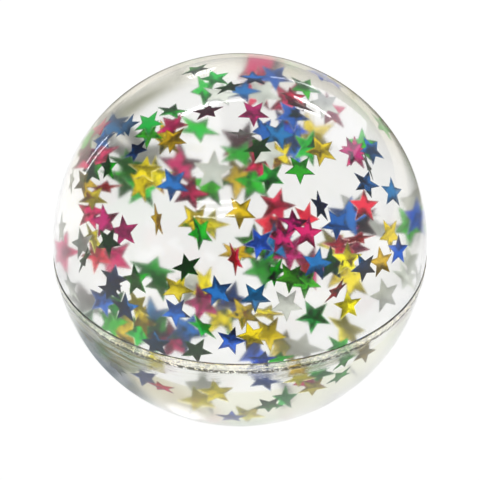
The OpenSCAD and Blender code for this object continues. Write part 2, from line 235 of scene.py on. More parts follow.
# The cards that the foil mirrors: dark, pale and bright ones all round, and one overhead.
DARK_ROOM = (0.27, 0.27, 0.28)
PALE_ROOM = (0.85, 0.85, 0.85)
BRIGHT_ROOM = (2.4, 2.4, 2.35)
OVERHEAD = (1.7, 1.7, 1.65)
OVERHEAD_SPREAD = (0.85, 0.96)
# What shows through the rubber past the floor: a cream wall, a beige card and a dark card at the right.
CREAM_WALL = (0.88, 0.885, 0.765)
BEIGE_WALL = (0.66, 0.61, 0.44)
BEIGE_WALL_WAY = (24, 14)
BEIGE_WALL_SPREAD = (0.93, 0.985)
SIDE_CARD = (0.13, 0.16, 0.22)
SIDE_CARD_WAY = (60, 16)
SIDE_CARD_SPREAD = (0.83, 0.92)
# Level of the tent as it lights matt surfaces.
TENT_LIGHT = 0.6

# The floor, in ball radii from the ball's foot. It reaches FLOOR_REACH metres and lies just under the ball.
FLOOR_REACH = 6.0
FLOOR_CLEARANCE = 0.0001
# As the rubber shows it: a painted shadow round the ball's foot, cream near the ball and darker under it, with a
# darker beige patch behind.
SHADE_NEAR_BALL = (0.88, 0.82, 0.67)
SHADE_NEAR_BALL_SPREAD = (1.25, 0.9)
SHADOW_UNDER_BALL = (0.55, 0.54, 0.45)
SHADOW_UNDER_BALL_SPREAD = (0.84, 0.6)
BEIGE_PATCH = (0.27, 0.26, 0.13)
BEIGE_PATCH_PLACE = Vector((0.2, 1.05, 0))
BEIGE_PATCH_SPREAD = (0.2, 0.06)
# As the foil mirrors it: pale and bright patches.
PALE_PATCH = (0.9, 0.9, 0.9)
BRIGHT_PATCH = (2.6, 2.6, 2.6)
# As the rubber's skin mirrors it: cream far off, a dark ring, a painted shadow at the left of the ball and a painted
# pool of light in front of it.
FAR_FLOOR = (0.92, 0.87, 0.76)
FAR_FLOOR_SPREAD = (3, 7)
RING = (0.1, 0.09, 0.04)
RING_INNER_SPREAD = (2.8, 3.6)
RING_OUTER_SPREAD = (10, 5)
RING_OPEN_SIDE = (-0.5, -0.3)
SHADOW_LEFT_OF_BALL = (0.26, 0.3, 0.34)
SHADOW_LEFT_OF_BALL_PLACE = Vector((-1.1, -0.3, 0))
SHADOW_LEFT_OF_BALL_SPREAD = (0.65, 0.35)
LIGHT_POOL_BEFORE_BALL = (2.0, 2.0, 2.1)
LIGHT_POOL_BEFORE_BALL_PLACE = Vector((-0.39, -0.68, 0))
LIGHT_POOL_BEFORE_BALL_SPREAD = (0.19, 0.08)

# The camera's film width in millimetres, and how near and far it sees, in metres.
SENSOR_WIDTH = 36
CLIP_NEAR = 0.005
CLIP_FAR = 30


class RubberBallSettings(bpy.types.PropertyGroup):
    groove: bpy.props.FloatProperty(
        name="Groove", description="Depth of the fine groove above the band", default=0.00007, unit="LENGTH")
    band_height: bpy.props.FloatProperty(
        name="Band height", description="Height of the trimmed band below the parting line", default=0.0011,
        unit="LENGTH")
    band_edge: bpy.props.FloatProperty(
        name="Band edge", description="Bevel along both edges of the band", default=0.00006, unit="LENGTH")
    trim_wander: bpy.props.FloatProperty(
        name="Trim wander", description="How far the knife wandered along the band's lower edge", default=0.00012,
        unit="LENGTH")
    ripple: bpy.props.FloatProperty(
        name="Ripple", description="Height of the mould's faint ripples in the skin", default=0.0000025, unit="LENGTH")
    flow_marks: bpy.props.FloatProperty(
        name="Flow marks", description="Strength of the drawn flow marks under the band", default=2.2)
    # A painted glow: how brightly the body glows white in place of the light its cloudiness would scatter.
    haze_glow: bpy.props.FloatProperty(
        name="Cloud", description="How much white light the faintly cloudy rubber gathers, per metre", default=0.85)
    haze: bpy.props.FloatProperty(
        name="Haze", description="Roughness that softens what lies deep in the cloudy rubber", default=0.085)
    rings: bpy.props.IntProperty(name="Steps round", description="Steps round the ball", default=288, min=24)
    refraction: bpy.props.FloatProperty(name="Refraction", description="Refractive index of the rubber", default=1.5)
    upper_tint: bpy.props.FloatVectorProperty(
        name="Upper rubber", description="Colour of the rubber above the parting line", subtype="COLOR",
        default=(1.0, 1.0, 1.0))
    lower_tint: bpy.props.FloatVectorProperty(
        name="Lower rubber", description="Colour of the rubber below the parting line", subtype="COLOR",
        default=(0.97, 0.97, 0.92))
    band_tint: bpy.props.FloatVectorProperty(
        name="Band", description="Colour of the scuffed band", subtype="COLOR", default=(0.96, 0.91, 0.7))
    depth_tint: bpy.props.FloatVectorProperty(
        name="Tint in depth", description="Colour that the rubber takes on in depth", subtype="COLOR",
        default=(0.25, 0.25, 0.25))
    depth_strength: bpy.props.FloatProperty(
        name="Depth strength", description="How quickly the tint builds up with depth, per metre", default=2.1)


class FoilStarSettings(bpy.types.PropertyGroup):
    rim: bpy.props.FloatProperty(
        name="Rim", description="Width of the pressed rim round a star", default=0.00005, unit="LENGTH")
    burr: bpy.props.FloatProperty(
        name="Burr", description="How far the cutting die turned the rim down", default=0.00003, unit="LENGTH")
    curl: bpy.props.FloatProperty(
        name="Curl", description="Largest curl of a star's points out of its plane", default=0.00008, unit="LENGTH")
    thickness: bpy.props.FloatProperty(
        name="Thickness", description="Thickness of the foil", default=0.00005, unit="LENGTH")
    blue: bpy.props.FloatVectorProperty(
        name="Blue foil", description="Colour of the blue foil", subtype="COLOR", default=(0.004, 0.09, 0.31))
    green: bpy.props.FloatVectorProperty(
        name="Green foil", description="Colour of the green foil", subtype="COLOR", default=(0.004, 0.29, 0.003))
    red: bpy.props.FloatVectorProperty(
        name="Red foil", description="Colour of the red foil", subtype="COLOR", default=(0.4, 0.006, 0.075))
    gold: bpy.props.FloatVectorProperty(
        name="Gold foil", description="Colour of the gold foil", subtype="COLOR", default=(0.5, 0.385, 0.002))
    silver: bpy.props.FloatVectorProperty(
        name="Silver foil", description="Colour of the silver foil", subtype="COLOR", default=(0.56, 0.59, 0.53))
    hue_spread: bpy.props.FloatProperty(
        name="Hue spread", description="How far the hue of one colour of foil varies from star to star", default=0.05)
    silver_frost: bpy.props.FloatProperty(
        name="Silver frost", description="How much rougher the silver foil is than the coloured ones", default=0.26)


class PhotoStageSettings(bpy.types.PropertyGroup):
    elevation: bpy.props.FloatProperty(
        name="Elevation", description="Height of the camera above the parting plane", default=math.radians(35),
        subtype="ANGLE", unit="ROTATION")
    distance: bpy.props.FloatProperty(
        name="Distance", description="Distance of the camera from the ball's centre, in ball radii", default=5.35)
    fill: bpy.props.FloatProperty(
        name="Fill", description="Share of the picture's height that the ball takes up", default=0.779)
    floor_paint: bpy.props.FloatProperty(
        name="Floor paint", description="How much light the floor gives back, which carries the shadow", default=0.3)
    floor_glow: bpy.props.FloatProperty(
        name="Floor glow", description="Level of the floor in the picture, before its paint adds to it", default=0.93)
    floor_mirrored: bpy.props.FloatProperty(
        name="Floor mirrored", description="Level of the floor as the rubber's skin mirrors it", default=0.85)
    floor_through: bpy.props.FloatProperty(
        name="Floor in rubber", description="Level of the floor as the rubber shows it", default=0.86)


def deg(azimuth, elevation):
    """A direction from the ball's centre; azimuth 0 is away from the camera and 90 is to its right."""
    a, e = math.radians(azimuth), math.radians(elevation)
    return Vector((math.sin(a) * math.cos(e), math.cos(a) * math.cos(e), math.sin(e)))


def azimuth_elevation(way):
    """The azimuth and elevation of a direction, in degrees."""
    return math.degrees(math.atan2(way.x, way.y)), math.degrees(math.asin(way.z))


def link_piece(name, bm, *materials):
    """Makes a mesh object at the origin from a bmesh and gives it its materials."""
    mesh = bpy.data.meshes.new(name)
    bm.to_mesh(mesh)
    bm.free()
    piece = bpy.data.objects.new(name, mesh)
    bpy.context.scene.collection.objects.link(piece)
    for material in materials:
        mesh.materials.append(material)
    return piece


def new_material(name):
    """An empty node material."""
    material = bpy.data.materials.new(name)
    material.use_nodes = True
    material.node_tree.nodes.clear()
    return material


def add(tree, kind, inputs=None, **values):
    """Adds a shader node; inputs maps a socket's name or number to a value or to another node's socket."""
    node = tree.nodes.new(kind)
    for key, value in values.items():
        setattr(node, key, value)
    for key, value in (inputs or {}).items():
        if isinstance(value, bpy.types.NodeSocket):
            tree.links.new(value, node.inputs[key])
        else:
            node.inputs[key].default_value = value
    return node


def math_node(tree, operation, *terms):
    """Works out one value from others."""
    return add(tree, "ShaderNodeMath", dict(enumerate(terms)), operation=operation).outputs[0]


def times(tree, *factors):
    """Multiplies values."""
    product = factors[0]
    for factor in factors[1:]:
        product = math_node(tree, "MULTIPLY", product, factor)
    return product


def fitted(tree, value, from_low, from_high, to_low=0.0, to_high=1.0):
    """Maps a value smoothly from one range to another."""
    node = add(tree, "ShaderNodeMapRange", {0: value, 1: from_low, 2: from_high, 3: to_low, 4: to_high},
               interpolation_type="SMOOTHSTEP")
    return node.outputs[0]


def fitted_radii(tree, value, spread, to_low=0.0, to_high=1.0):
    """Maps a length smoothly, from a range in ball radii."""
    return fitted(tree, value, spread[0] * BALL_R, spread[1] * BALL_R, to_low, to_high)


def rgba(colour):
    """A colour as a socket holds it."""
    return (*colour, 1.0)


def mixed(tree, share, first, second):
    """Mixes two colours, each three numbers or another node's socket."""
    ends = [end if isinstance(end, bpy.types.NodeSocket) else rgba(end) for end in (first, second)]
    return add(tree, "ShaderNodeMix", {0: share, 6: ends[0], 7: ends[1]}, data_type="RGBA").outputs[2]


def mixed_level(tree, share, first, second):
    """Mixes two numbers."""
    return add(tree, "ShaderNodeMix", {0: share, 2: first, 3: second}, data_type="FLOAT").outputs[0]


def grain(tree, place, scale, detail, roughness):
    """A noise that varies over the surface."""
    return add(tree, "ShaderNodeTexNoise", {"Vector": place, "Scale": scale, "Detail": detail,
                                            "Roughness": roughness}).outputs[0]


def stretched(tree, place, scale):
    """The same place, stretched for a pattern that runs one way."""
    return add(tree, "ShaderNodeMapping", {"Vector": place, "Scale": scale}).outputs[0]


def toward(tree, way, direction):
    """How nearly a way points in a direction: 1 where it does exactly."""
    return add(tree, "ShaderNodeVectorMath", {0: way, 1: direction}, operation="DOT_PRODUCT").outputs["Value"]


def distance_from(tree, spot, card_place):
    """Distance on the floor from a place that is given in ball radii."""
    return add(tree, "ShaderNodeVectorMath", {0: spot, 1: card_place * BALL_R}, operation="DISTANCE").outputs["Value"]


def wear_group():
    """Shared handling wear: fine hairline scratches and a soft mottle, both 0 to 1."""
    group = bpy.data.node_groups.get("handling_wear")
    if group:
        return group
    group = bpy.data.node_groups.new("handling_wear", "ShaderNodeTree")
    socket = group.interface.new_socket
    socket("Vector", in_out="INPUT", socket_type="NodeSocketVector")
    for name in ("Scratch Scale", "Mottle Scale"):
        socket(name, in_out="INPUT", socket_type="NodeSocketFloat")
    socket("Scratches", in_out="OUTPUT", socket_type="NodeSocketFloat")
    socket("Mottle", in_out="OUTPUT", socket_type="NodeSocketFloat")
    place, scratch_scale, mottle_scale = list(add(group, "NodeGroupInput").outputs)[:3]
    turned = add(group, "ShaderNodeMapping", {"Vector": place, "Rotation": HAIRLINES_TURNED,
                                              "Scale": HAIRLINES_DRAWN})
    hair = grain(group, turned.outputs[0], scratch_scale, *HAIRLINES_DETAIL)
    soft = grain(group, place, mottle_scale, *MOTTLE_DETAIL)
    result = add(group, "NodeGroupOutput")
    group.links.new(fitted(group, hair, *HAIRLINES_SHOW), result.inputs[0])
    group.links.new(soft, result.inputs[1])
    return group


def handling_wear(tree, place, scales):
    """Places the shared wear in a material and returns its scratches and its mottle."""
    wear = add(tree, "ShaderNodeGroup", node_tree=wear_group())
    tree.links.new(place, wear.inputs[0])
    wear.inputs[1].default_value, wear.inputs[2].default_value = scales
    return wear.outputs[0], wear.outputs[1]


def foil_material(name, colour, frost, hue_spread):
    """Metallised film: each star has its own tone, with faint crinkles, hairlines and an edge painted with shade on
    darker-toned stars and with a glint on paler ones.
    """
    material = new_material(name)
    tree = material.node_tree
    place = add(tree, "ShaderNodeUVMap", uv_map="foil").outputs[0]
    own = add(tree, "ShaderNodeAttribute", attribute_name="star", attribute_type="GEOMETRY")
    tone, edge = list(add(tree, "ShaderNodeSeparateColor", {0: own.outputs["Color"]}).outputs)[:2]
    scratches, mottle = handling_wear(tree, place, FOIL_WEAR)
    shade = math_node(tree, "MULTIPLY_ADD", mottle, MOTTLE_SHARE, times(tree, tone, OWN_TONE_SHARE))
    base = mixed(tree, shade, [c * DEEP_TONE for c in colour],
                 [min(1.0, c * PALE_TONE + PALE_LIFT) for c in colour])
    base = mixed(tree, times(tree, scratches, SCRATCH_STRENGTH), base, [min(1, c + SCRATCH_LIFT) for c in colour])
    # Painted edge light: shade on stars whose tone is low, a pale glint on the others.
    edge_shade_and_glint = mixed(tree, math_node(tree, "GREATER_THAN", tone, EDGE_GLINT_FROM), [c * EDGE_SHADE for c in colour],
                EDGE_GLINT)
    base = mixed(tree, times(tree, edge, EDGE_SHADE_AND_GLINT_STRENGTH), base, edge_shade_and_glint)
    hue = math_node(tree, "MULTIPLY_ADD", tone, hue_spread, 0.5 - hue_spread / 2)
    base = add(tree, "ShaderNodeHueSaturation", {"Hue": hue, "Color": base}).outputs[0]
    height = math_node(tree, "MULTIPLY_ADD", scratches, SCRATCH_DEPTH, grain(tree, place, *CRINKLE_GRAIN))
    bump = add(tree, "ShaderNodeBump", {"Strength": FOIL_BUMP, "Distance": FOIL_BUMP_DEPTH, "Height": height})
    rough = fitted(tree, mottle, *MOTTLE_SHOWS, *[level + frost for level in FOIL_ROUGHNESS])
    shader = add(tree, "ShaderNodeBsdfPrincipled", {"Base Color": base, "Metallic": 1.0, "Roughness": rough,
                                                    "Specular Tint": rgba(colour), "Normal": bump.outputs[0]})
    add(tree, "ShaderNodeOutputMaterial", {0: shader.outputs[0]})
    return material


def edge_lines(tree, x, z, low, speck):
    """Mask of the dark lines along the band's two edges; the lower one is broken up."""
    top = fitted(tree, math_node(tree, "ABSOLUTE", math_node(tree, "ADD", z, TOP_LINE_DROP)), *TOP_LINE_FADE)
    sides = fitted_radii(tree, math_node(tree, "ABSOLUTE", x), TOP_LINE_SIDES, TOP_LINE_LEAST, 1.0)
    bottom = fitted(tree, math_node(tree, "ABSOLUTE", math_node(tree, "SUBTRACT", z, low)), *LOW_LINE_FADE)
    return math_node(tree, "MAXIMUM", times(tree, top, sides, TOP_LINE_STRENGTH),
                     times(tree, bottom, fitted(tree, speck, *LINE_BREAKS_SHOW)))


def flow_mask(tree, place, x, z, low):
    """Mask of the zone under the band where the rubber shows how it flowed, strongest at the left side."""
    drawn_side = fitted_radii(tree, x, DRAWN_SIDE)
    reach = math_node(tree, "MULTIPLY_ADD", drawn_side, low * DRAWN_SIDE_REACH, low * FLOW_REACH)
    return times(tree, fitted(tree, math_node(tree, "DIVIDE", z, reach), *FLOW_FADE),
                 fitted(tree, z, *[low * end for end in FLOW_START]),
                 math_node(tree, "MULTIPLY_ADD", drawn_side, DRAWN_SIDE_STRENGTH, 1.0),
                 fitted(tree, grain(tree, place, *PATCH_GRAIN), *PATCHES_SHOW, PATCHES_LEAST, 1.0))


def rubber_material(look):
    """Clear rubber: glossy skin over a body that absorbs in depth and glows faintly white, a painted glow in place of
    the light its cloudiness would scatter, with a scuffed band whose specks carry a painted glint, and flow marks
    under it.
    """
    material = new_material("clear_rubber_skin")
    tree = material.node_tree
    place = add(tree, "ShaderNodeTexCoord").outputs["Object"]
    x, _, z = add(tree, "ShaderNodeSeparateXYZ", {0: place}).outputs
    low = -look.band_height
    speck = grain(tree, place, *SPECK_GRAIN)
    streak = grain(tree, stretched(tree, place, DRAGGED), *STREAK_GRAIN)
    flow = grain(tree, stretched(tree, place, DRAWN), *FLOW_GRAIN)
    band = times(tree, fitted(tree, z, *[low + end for end in LOW_EDGE_FADE]), fitted(tree, z, *TOP_EDGE_FADE))
    lines = edge_lines(tree, x, z, low, speck)
    near = flow_mask(tree, place, x, z, low)

    base = mixed(tree, fitted(tree, z, 0.0, low), look.upper_tint, look.lower_tint)
    base = mixed(tree, times(tree, band, BAND_TINT_STRENGTH), base, look.band_tint)
    scuff = times(tree, fitted(tree, streak, *SCUFF_SHOWS), SCUFF_STRENGTH)
    worn = times(tree, fitted(tree, speck, *GRIT_SHOWS), scuff)
    base = mixed(tree, times(tree, band, worn), base, WORN_COLOUR)
    base = mixed(tree, lines, base, LINE_COLOUR)
    stain = times(tree, near, fitted(tree, flow, *FLOW_SHOWS, 0.0, STAIN_STRENGTH))
    base = mixed(tree, stain, base, STAIN_COLOUR)
    # Painted glint: the band's pale specks glow, given as emission; the edge lines stay dark.
    speck_glint = mixed(tree, times(tree, band, fitted(tree, speck, *GLINTING_SPECKS_SHOW)), BLACK, SPECK_GLINT_COLOUR)
    speck_glint = mixed(tree, lines, speck_glint, BLACK)

    scratches, _ = handling_wear(tree, place, SKIN_WEAR)
    rough = math_node(tree, "MULTIPLY_ADD", scratches, SCRATCH_ROUGHNESS, look.haze)
    band_rough = fitted(tree, speck, *ROUGH_SPECKS_SHOW, 0.0, BAND_ROUGHNESS)
    rough = math_node(tree, "MULTIPLY_ADD", band, band_rough, rough)

    rippled = add(tree, "ShaderNodeBump", {"Strength": 1.0, "Distance": look.ripple * RIPPLE_GAIN,
                                           "Height": grain(tree, place, *SWELL_GRAIN)})
    torn = times(tree, times(tree, band, BAND_BUMP), math_node(tree, "ADD", streak, speck))
    torn = math_node(tree, "MULTIPLY_ADD", times(tree, flow, near), look.flow_marks, torn)
    bump = add(tree, "ShaderNodeBump", {"Strength": SKIN_BUMP, "Distance": SKIN_BUMP_DEPTH, "Height": torn,
                                        "Normal": rippled.outputs[0]})

    rubber = add(tree, "ShaderNodeBsdfPrincipled", {
        "Base Color": base, "Metallic": 0.0, "Roughness": rough, "IOR": look.refraction, "Transmission Weight": 1.0,
        "Coat Weight": COAT, "Coat Roughness": COAT_ROUGHNESS, "Emission Color": speck_glint,
        "Emission Strength": SPECK_GLINT_STRENGTH, "Normal": bump.outputs[0]})
    facing = add(tree, "ShaderNodeLayerWeight", {"Blend": 0.5}).outputs["Facing"]
    shade = mixed(tree, math_node(tree, "POWER", facing, SHADOW_FALL), SHADOW_MIDDLE, SHADOW_RIM)
    clear = add(tree, "ShaderNodeBsdfTransparent", {0: shade})
    shadow = add(tree, "ShaderNodeLightPath").outputs["Is Shadow Ray"]
    both = add(tree, "ShaderNodeMixShader", {0: shadow, 1: rubber.outputs[0], 2: clear.outputs[0]})
    depth = add(tree, "ShaderNodeVolumeAbsorption", {"Color": rgba(look.depth_tint), "Density": look.depth_strength})
    # Painted glow: white emission through the body stands in for scattered light.
    haze_glow = add(tree, "ShaderNodeEmission", {"Color": rgba(HAZE_GLOW_COLOUR), "Strength": look.haze_glow})
    inside = add(tree, "ShaderNodeAddShader", {0: depth.outputs[0], 1: haze_glow.outputs[0]})
    add(tree, "ShaderNodeOutputMaterial", {"Surface": both.outputs[0], "Volume": inside.outputs[0]})
    return material


def skin_profile(bm, look):
    """Draws the ball's half outline from the upper pole to the lower one, with the groove and the band."""
    groove, edge, height = look.groove, look.band_edge, look.band_height
    profile = [bm.verts.new((0, 0, BALL_R))]

    def turn_to(z):
        """Carries the profile along the sphere down to a height."""
        here = profile[-1].co
        angle = math.atan2(here.x, here.z)
        there = math.acos(max(-1.0, z / BALL_R))
        made = bmesh.ops.spin(bm, geom=[profile[-1]], cent=(0, 0, 0), axis=(0, 1, 0), angle=there - angle,
                              steps=POLE_STEPS, dvec=(0, 0, 0))
        profile.append([v for v in made["geom_last"] if isinstance(v, bmesh.types.BMVert)][0])

    def draw_to(x, z, steps=1):
        """Carries the profile straight to a point."""
        start = profile[-1].co.copy()
        for step in range(1, steps + 1):
            made = bmesh.ops.extrude_vert_indiv(bm, verts=[profile[-1]])
            profile.append(made["verts"][0])
            profile[-1].co = start.lerp(Vector((x, 0, z)), step / steps)

    turn_to(groove * GROOVE_RISE)
    draw_to(BALL_R - groove, 0.0, GROOVE_STEPS)
    draw_to(BAND_R - edge, 0.0, GROOVE_STEPS)
    draw_to(BAND_R, -edge)
    draw_to(BAND_R, edge - height, BAND_STEPS)
    draw_to(BAND_R - edge, -height)
    draw_to(math.sqrt(BALL_R ** 2 - height ** 2), -height)
    turn_to(-BALL_R)
    profile[-1].co = (0, 0, -BALL_R)


def tear_band(bm, look):
    """Tears the band's face and lets its lower edge wander, as the trimming knife left them."""
    height = look.band_height
    proud = BAND_R - BALL_R
    for v in bm.verts:
        flat = Vector((v.co.x, v.co.y))
        if flat.length < POLE_REACH:
            continue
        round_place = flat.normalized() * ROUND_GRAIN
        if -height - look.band_edge < v.co.z < 0 and flat.length > BALL_R:
            torn = noise.noise(Vector((round_place.x * TORN_GRAIN, round_place.y * TORN_GRAIN,
                                       v.co.z * TORN_GRAIN_UP)))
            flat *= 1 - proud * (TORN_LEAST + TORN_SPAN * abs(torn)) / flat.length
            v.co.x, v.co.y = flat
        if -(1 + WANDER_BELOW) * height < v.co.z < -(1 - WANDER_ABOVE) * height:
            fade = 1 - abs(v.co.z + height) / (WANDER_BELOW * height)
            v.co.z += look.trim_wander * max(0.0, fade) * noise.noise(Vector((*round_place, WANDER_LAYER)))


class BALL_OT_clear_rubber(bpy.types.Operator):
    """Turns the ball's skin on a lathe: upper half, fine groove, trimmed band and lower half"""
    bl_idname = "ball.clear_rubber"
    bl_label = "Clear rubber ball"

    def execute(self, context):
        look = context.scene.rubber_ball
        bm = bmesh.new()
        skin_profile(bm, look)
        bmesh.ops.spin(bm, geom=bm.verts[:] + bm.edges[:], cent=(0, 0, 0), axis=(0, 0, 1), angle=2 * math.pi,
                       steps=look.rings, dvec=(0, 0, 0), use_merge=True)
        bmesh.ops.remove_doubles(bm, verts=bm.verts, dist=MERGE_REACH)
        bmesh.ops.recalc_face_normals(bm, faces=bm.faces)
        tear_band(bm, look)
        for face in bm.faces:
            face.smooth = True
        piece = link_piece("clear_rubber_ball", bm, rubber_material(look))
        piece.data.set_sharp_from_angle(angle=SKIN_SHARP)
        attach(piece, "root")
        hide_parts("upper_half", "lower_half")
        return {"FINISHED"}


def stars_in(node):
    """Centre, plane direction and point direction of every star in a CAD node."""
    bm = bmesh.new()
    bm.from_mesh(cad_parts[node].data)
    bmesh.ops.remove_doubles(bm, verts=bm.verts, dist=STAR_MERGE_REACH)
    found, seen = [], set()
    for start in bm.verts:
        if start in seen:
            continue
        island, front = {start}, [start]
        while front:
            for edge in front.pop().link_edges:
                for v in edge.verts:
                    if v not in island:
                        island.add(v)
                        front.append(v)
        seen |= island
        # Corners and faces go in order of place, so that the choice among equal ones is the same each run.
        corners = sorted(island, key=lambda v: tuple(v.co))
        centre = sum((v.co for v in corners), Vector()) / len(corners)
        faces = sorted({f for v in corners for f in v.link_faces}, key=lambda f: tuple(f.calc_center_median()))
        normal = max(faces, key=lambda f: f.calc_area()).normal.copy()
        point = max(corners, key=lambda v: (v.co - centre).length).co - centre
        point -= point.dot(normal) * normal
        found.append((centre, normal, point))
    bm.free()
    return sorted(found, key=lambda s: tuple(round(c, 6) for c in s[0]))


def star_blank(radius, rim):
    """A flat five-pointed star with a narrow rim strip all round."""
    corners = 2 * STAR_POINTS
    bm = bmesh.new()
    bmesh.ops.create_circle(bm, cap_ends=True, cap_tris=True, segments=corners, radius=radius)
    outline = sorted((v for v in bm.verts if v.co.length > radius / 2), key=lambda v: math.atan2(v.co.y, v.co.x))
    first = min(range(corners), key=lambda i: abs(math.atan2(outline[i].co.y, outline[i].co.x)))
    turn = Matrix.Rotation(-math.atan2(outline[first].co.y, outline[first].co.x), 3, "Z")
    bmesh.ops.rotate(bm, verts=bm.verts, cent=(0, 0, 0), matrix=turn)
    notches = [outline[(first + i) % corners] for i in range(1, corners, 2)]
    bmesh.ops.scale(bm, verts=notches, vec=(STAR_NOTCH, STAR_NOTCH, 1))
    bmesh.ops.inset_region(bm, faces=bm.faces, thickness=rim, use_even_offset=True, use_boundary=True)
    mesh = bpy.data.meshes.new("star_blank")
    bm.to_mesh(mesh)
    bm.free()
    return mesh


def lay_star(whole, look, dice, centre, normal, point):
    """Curls one star, gives it its thickness and adds it to the piece."""
    radius = point.length
    blank = bpy.data.meshes.get("star_blank") or star_blank(radius, look.rim)
    bm = bmesh.new()
    bm.from_mesh(blank)
    curl = look.curl * dice.uniform(-1, 1)
    along = dice.uniform(0, math.pi)
    fold = Vector((math.cos(along), math.sin(along), 0))
    tips = [dice.gauss(0, TIP_SPREAD) * look.curl for _ in range(STAR_POINTS)]
    uv = bm.loops.layers.uv.new("foil")
    own = bm.loops.layers.float_color.new("star")
    tone = dice.random()
    shift = Vector((dice.uniform(-PATTERN_SHIFT, PATTERN_SHIFT), dice.uniform(-PATTERN_SHIFT, PATTERN_SHIFT)))
    for face in bm.faces:
        for loop in face.loops:
            loop[uv].uv = loop.vert.co.xy / radius * PATTERN_REPEAT + shift
            loop[own] = (tone, 1.0 if loop.vert.is_boundary else 0.0, 0.0, 1.0)
    for v in bm.verts:
        across = v.co.dot(fold) / radius
        tip = round(math.atan2(v.co.y, v.co.x) / math.radians(360 / STAR_POINTS)) % STAR_POINTS
        reach = (v.co.length / radius) ** 2
        v.co.z = curl * across * across + tips[tip] * reach * (reach > TIP_START)
        if v.is_boundary:
            v.co.z -= look.burr
    bmesh.ops.solidify(bm, geom=bm.faces, thickness=look.thickness)
    x = point.normalized()
    place = Matrix((x, normal.cross(x), normal)).transposed().to_4x4()
    place.translation = centre
    bmesh.ops.transform(bm, verts=bm.verts, matrix=place)
    bmesh.ops.recalc_face_normals(bm, faces=bm.faces)
    mesh = bpy.data.meshes.new("star")
    bm.to_mesh(mesh)
    bm.free()
    whole.from_mesh(mesh)
    bpy.data.meshes.remove(mesh)


class BALL_OT_foil_stars(bpy.types.Operator):
    """Lays curled foil stars of one colour where the CAD holds them"""
    bl_idname = "ball.foil_stars"
    bl_label = "Foil stars"
    colour: bpy.props.EnumProperty(
        name="Colour", description="Colour of the stars to lay",
        items=[(c, c.capitalize(), f"Stars of {c} foil") for c in FOIL_COLOURS])

    def execute(self, context):
        look = context.scene.foil_stars
        material = foil_material(self.colour + "_metallised_film", getattr(look, self.colour),
                                 look.silver_frost if self.colour == "silver" else 0.0, look.hue_spread)
        for half in ("upper", "lower"):
            node = f"{half}_{self.colour}_stars"
            whole = bmesh.new()
            for number, (centre, normal, point) in enumerate(stars_in(node)):
                lay_star(whole, look, random.Random(f"{node}{number}"), centre, normal, point)
            for face in whole.faces:
                face.smooth = True
            piece = link_piece(f"{half}_{self.colour}_foil", whole, material)
            piece.data.set_sharp_from_angle(angle=FOIL_SHARP)
            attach(piece, "root")
            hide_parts(node)
        return {"FINISHED"}


def lamp(name, azimuth, elevation, width, height, glow, roll, colour):
    """A flat soft lamp aimed at the ball; width and height are the angles that it spans."""
    data = bpy.data.lights.new(name, "AREA")
    data.shape = "RECTANGLE"
    data.size = 2 * LAMP_DISTANCE * math.tan(math.radians(width / 2))
    data.size_y = 2 * LAMP_DISTANCE * math.tan(math.radians(height / 2))
    # A lamp's brightness is its power over its area and pi.
    data.energy = glow * data.size * data.size_y * math.pi
    data.color = colour
    thing = bpy.data.objects.new(name, data)
    out = deg(azimuth, elevation)
    thing.matrix_world = (Matrix.Translation(out * LAMP_DISTANCE) @ out.to_track_quat("Z", "Y").to_matrix().to_4x4()
                          @ Matrix.Rotation(math.radians(roll), 4, "Z"))
    thing.visible_camera = False
    thing.visible_transmission = False
    bpy.context.scene.collection.objects.link(thing)


def tube(start, end, wide, glow, colour=WHITE):
    """A thin tube lamp between two directions."""
    a, b = deg(*start), deg(*end)
    middle = (a + b).normalized()
    flat = (b - a) - (b - a).dot(middle) * middle
    azimuth, elevation = azimuth_elevation(middle)
    upright = middle.to_track_quat("Z", "Y").to_matrix()
    roll = math.degrees(math.atan2(flat.dot(upright.col[1]), flat.dot(upright.col[0])))
    lamp(f"tube_{azimuth:.1f}_{elevation:.1f}", azimuth, elevation, math.degrees(a.angle(b)), wide, glow, roll, colour)


def highlight_lamps():
    """The soft box, the tubes and the ladder that the skin mirrors."""
    tube(*SOFT_BOX, colour=SOFT_BOX_COLOUR)
    for start, end, wide, glow in RIGHT_TUBES + LEFT_TUBES + CEILING_TUBES:
        tube(start, end, wide, glow)
    for start, end in LADDER_RAILS:
        tube(start, end, *LADDER_RAIL_TUBE)
    for rung in range(LADDER_RUNGS):
        ends = [deg(*start).slerp(deg(*end), (rung + 0.5) / LADDER_RUNGS) for start, end in LADDER_RAILS]
        tube(*[azimuth_elevation(end) for end in ends], *LADDER_RUNG_TUBE)


